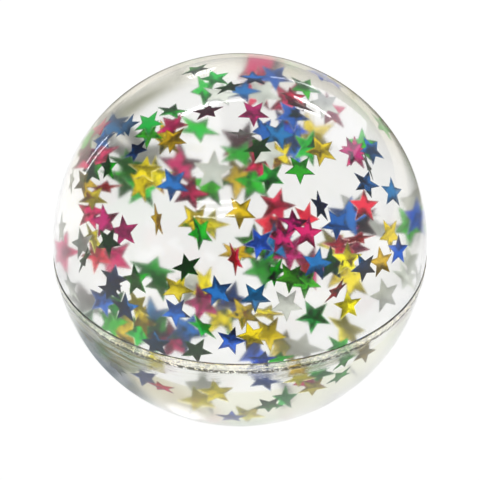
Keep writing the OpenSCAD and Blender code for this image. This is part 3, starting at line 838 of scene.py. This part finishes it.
def studio_world(view_dir):
    """White behind the picture, a cream wall through the rubber, cards for the foil and a soft tent as light."""
    world = bpy.data.worlds.new("white_tent")
    world.use_nodes = True
    tree = world.node_tree
    tree.nodes.clear()
    way = add(tree, "ShaderNodeTexCoord").outputs["Generated"]
    path = add(tree, "ShaderNodeLightPath").outputs
    tent = mixed(tree, fitted(tree, toward(tree, way, view_dir), *TENT_DIM_SPREAD), TENT_WALL, TENT_DIM)
    tent = mixed(tree, fitted(tree, toward(tree, way, deg(*FLAG_WAY)), *FLAG_SPREAD), tent, FLAG)

    room = grain(tree, way, *ROOM_GRAIN)
    cards = mixed(tree, fitted(tree, room, *DARK_ROOM_SHOWS), DARK_ROOM, PALE_ROOM)
    cards = mixed(tree, fitted(tree, room, *BRIGHT_ROOM_SHOWS), cards, BRIGHT_ROOM)
    cards = mixed(tree, fitted(tree, toward(tree, way, deg(0, 90)), *OVERHEAD_SPREAD), cards, OVERHEAD)
    tent = mixed(tree, path["Is Transmission Ray"], tent, cards)

    beige = fitted(tree, toward(tree, way, deg(*BEIGE_WALL_WAY)), *BEIGE_WALL_SPREAD)
    side = fitted(tree, toward(tree, way, deg(*SIDE_CARD_WAY)), *SIDE_CARD_SPREAD)
    surround = mixed(tree, path["Is Transmission Ray"], WHITE, CREAM_WALL)
    surround = mixed(tree, times(tree, beige, path["Is Transmission Ray"]), surround, BEIGE_WALL)
    surround = mixed(tree, times(tree, side, path["Is Transmission Ray"]), surround, SIDE_CARD)

    unmirrored = math_node(tree, "LESS_THAN", path["Glossy Depth"], 0.5)
    through = times(tree, path["Is Transmission Ray"], unmirrored)
    white = math_node(tree, "MAXIMUM", path["Is Camera Ray"], through)
    level = mixed_level(tree, path["Is Diffuse Ray"], 1.0, TENT_LIGHT)
    light = add(tree, "ShaderNodeBackground", {"Color": mixed(tree, white, tent, surround), "Strength": level})
    add(tree, "ShaderNodeOutputWorld", {0: light.outputs[0]})
    bpy.context.scene.world = world


def floor_through_rubber(tree, path, spot, out):
    """The floor's tone as the rubber shows it, with a painted shadow round the ball's foot, and as the foil inside
    mirrors it.
    """
    # Painted shadow: cream near the ball and darker under it.
    tone = mixed(tree, fitted_radii(tree, out, SHADE_NEAR_BALL_SPREAD), WHITE, SHADE_NEAR_BALL)
    tone = mixed(tree, fitted_radii(tree, out, SHADOW_UNDER_BALL_SPREAD), tone, SHADOW_UNDER_BALL)
    beige = fitted_radii(tree, distance_from(tree, spot, BEIGE_PATCH_PLACE), BEIGE_PATCH_SPREAD)
    tone = mixed(tree, beige, tone, BEIGE_PATCH)
    patches = fitted(tree, grain(tree, spot, *FLOOR_GRAIN), *FLOOR_PATCHES_SHOW)
    patches = mixed(tree, patches, PALE_PATCH, BRIGHT_PATCH)
    return mixed(tree, math_node(tree, "GREATER_THAN", path["Glossy Depth"], 0.5), tone, patches)


def floor_mirrored_by_skin(tree, spot, out):
    """The floor's tone as the skin mirrors it, with a painted shadow and a painted pool of light near the ball."""
    x = add(tree, "ShaderNodeSeparateXYZ", {0: spot}).outputs[0]
    ring = times(tree, fitted_radii(tree, out, RING_INNER_SPREAD), fitted_radii(tree, out, RING_OUTER_SPREAD),
                 fitted(tree, math_node(tree, "DIVIDE", x, out), *RING_OPEN_SIDE))
    tone = mixed(tree, fitted_radii(tree, out, FAR_FLOOR_SPREAD), WHITE, FAR_FLOOR)
    tone = mixed(tree, ring, tone, RING)
    # A painted shadow at the left of the ball and a painted pool of light in front of it.
    for card_place, spread, colour in ((SHADOW_LEFT_OF_BALL_PLACE, SHADOW_LEFT_OF_BALL_SPREAD, SHADOW_LEFT_OF_BALL),
                                       (LIGHT_POOL_BEFORE_BALL_PLACE, LIGHT_POOL_BEFORE_BALL_SPREAD, LIGHT_POOL_BEFORE_BALL)):
        tone = mixed(tree, fitted_radii(tree, distance_from(tree, spot, card_place), spread), tone, colour)
    return tone


def floor_material(look):
    """Pale matt floor: white in the picture, it keeps the ball's shadow and has its own tones for the rubber, painted
    shadows and a painted pool of light near the ball among them.
    """
    material = new_material("pale_floor")
    tree = material.node_tree
    path = add(tree, "ShaderNodeLightPath").outputs
    spot = add(tree, "ShaderNodeTexCoord").outputs["Object"]
    out = add(tree, "ShaderNodeVectorMath", {0: spot}, operation="LENGTH").outputs["Value"]
    seen = math_node(tree, "MAXIMUM", path["Is Camera Ray"],
                     math_node(tree, "MAXIMUM", path["Is Glossy Ray"], path["Is Transmission Ray"]))
    level = mixed_level(tree, path["Is Glossy Ray"], look.floor_glow, look.floor_mirrored)
    level = mixed_level(tree, path["Is Transmission Ray"], level, look.floor_through)
    tone = mixed(tree, path["Is Glossy Ray"], WHITE, floor_mirrored_by_skin(tree, spot, out))
    tone = mixed(tree, path["Is Transmission Ray"], tone, floor_through_rubber(tree, path, spot, out))
    paint = add(tree, "ShaderNodeBsdfDiffuse", {0: rgba([look.floor_paint] * 3)})
    glow = add(tree, "ShaderNodeEmission", {0: tone, 1: times(tree, seen, level)})
    both = add(tree, "ShaderNodeAddShader", {0: paint.outputs[0], 1: glow.outputs[0]})
    add(tree, "ShaderNodeOutputMaterial", {0: both.outputs[0]})
    return material


def photo_camera(look, view_dir):
    """The camera, as far off and as narrow as the ball's size in the photograph asks."""
    reach = look.distance * BALL_R
    half_outline = math.asin(BALL_R / reach)
    data = bpy.data.cameras.new("photo_camera")
    data.sensor_width = SENSOR_WIDTH
    data.angle = 2 * math.atan(math.tan(half_outline) / look.fill)
    data.clip_start = CLIP_NEAR
    data.clip_end = CLIP_FAR
    camera = bpy.data.objects.new("photo_camera", data)
    camera.matrix_world = Matrix.Translation(view_dir * reach) @ view_dir.to_track_quat("Z", "Y").to_matrix().to_4x4()
    bpy.context.scene.collection.objects.link(camera)
    bpy.context.scene.camera = camera


class BALL_OT_photo_stage(bpy.types.Operator):
    """Sets the pale floor, the soft lamps, the white surround and the camera"""
    bl_idname = "ball.photo_stage"
    bl_label = "Photo stage"

    def execute(self, context):
        look = context.scene.photo_stage
        view_dir = deg(180, math.degrees(look.elevation))
        bm = bmesh.new()
        bmesh.ops.create_grid(bm, x_segments=1, y_segments=1, size=FLOOR_REACH)
        floor = link_piece("pale_floor", bm, floor_material(look))
        floor.location.z = cad_low.z - FLOOR_CLEARANCE
        studio_world(view_dir)
        highlight_lamps()
        photo_camera(look, view_dir)
        context.scene.view_settings.view_transform = "Standard"
        return {"FINISHED"}


class BALL_PT_sidebar(bpy.types.Panel):
    """Lists the ball's pieces, their settings and the stage"""
    bl_idname = "BALL_PT_sidebar"
    bl_label = "Confetti Bouncy Ball"
    bl_space_type = "VIEW_3D"
    bl_region_type = "UI"
    bl_category = "Ball"

    def draw(self, context):
        layout = self.layout
        for settings, operator in (("rubber_ball", "ball.clear_rubber"), ("foil_stars", "ball.foil_stars"),
                                   ("photo_stage", "ball.photo_stage")):
            box = layout.box()
            group = getattr(context.scene, settings)
            for name in group.__annotations__:
                box.prop(group, name)
            if operator == "ball.foil_stars":
                box.operator_menu_enum(operator, "colour")
            else:
                box.operator(operator)


CLASSES = (RubberBallSettings, FoilStarSettings, PhotoStageSettings, BALL_OT_clear_rubber, BALL_OT_foil_stars,
           BALL_OT_photo_stage, BALL_PT_sidebar)


def register():
    """Adds the settings, the operators and the panel."""
    for cls in CLASSES:
        bpy.utils.register_class(cls)
    bpy.types.Scene.rubber_ball = bpy.props.PointerProperty(type=RubberBallSettings)
    bpy.types.Scene.foil_stars = bpy.props.PointerProperty(type=FoilStarSettings)
    bpy.types.Scene.photo_stage = bpy.props.PointerProperty(type=PhotoStageSettings)


def unregister():
    """Takes the settings, the operators and the panel away."""
    del bpy.types.Scene.photo_stage
    del bpy.types.Scene.foil_stars
    del bpy.types.Scene.rubber_ball
    for cls in reversed(CLASSES):
        bpy.utils.unregister_class(cls)


def main():
    """Makes every piece and the stage."""
    register()
    bpy.ops.ball.clear_rubber()
    for colour in FOIL_COLOURS:
        bpy.ops.ball.foil_stars(colour=colour)
    bpy.ops.ball.photo_stage()


if __name__ == "__main__":
    main()
